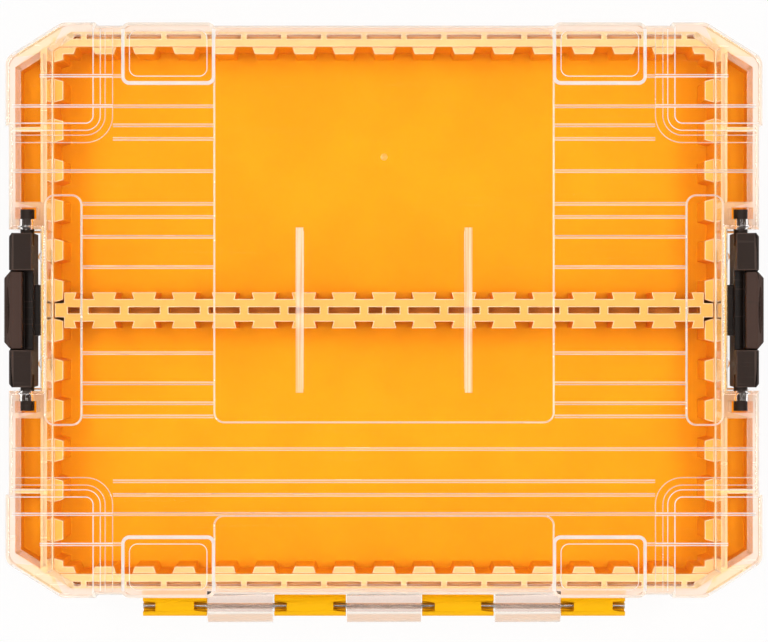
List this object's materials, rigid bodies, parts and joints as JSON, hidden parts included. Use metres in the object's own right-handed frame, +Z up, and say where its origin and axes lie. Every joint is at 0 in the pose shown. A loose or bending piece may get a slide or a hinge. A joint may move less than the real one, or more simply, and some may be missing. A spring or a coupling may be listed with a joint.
{
  "type": "bit case",
  "caption": "Flat bit case: ribbed tray, clear lid hinged on a steel pin, drop-in divider with dovetail tabs, and a hook latch on each short side.",
  "frame": {"origin": "middle of the tray's underside, below the middle of the inner box", "axes": "+X along the long side, -Y towards the hinge, +Z up through the lid"},
  "size_m": [0.2386, 0.1887, 0.052],
  "materials": {
    "tray_plastic": "satin moulded yellow",
    "clear_plastic": "clear, polished",
    "pin_steel": "drawn wire",
    "latch_plastic": "semi-gloss moulded black"
  },
  "bodies": {
    "base": {"tray": "tray_plastic", "divider": "tray_plastic", "hinge_pin": "pin_steel"},
    "lid": {"lid": "clear_plastic"},
    "left_latch": {"left_latch": "latch_plastic"},
    "right_latch": {"right_latch": "latch_plastic"}
  },
  "joints": [
    {"name": "lid_hinge", "type": "hinge", "parent": "base", "child": "lid", "pos_m": [0, -0.0938, 0.03], "axis": [1, 0, 0], "range_deg": [0, 180]},
    {"name": "left_latch_pivot", "type": "hinge", "parent": "lid", "child": "left_latch", "pos_m": [-0.112, 0, 0.042], "axis": [0, 1, 0], "range_deg": [0, 95]},
    {"name": "right_latch_pivot", "type": "hinge", "parent": "lid", "child": "right_latch", "pos_m": [0.112, 0, 0.042], "axis": [0, -1, 0], "range_deg": [0, 95]}
  ]
}
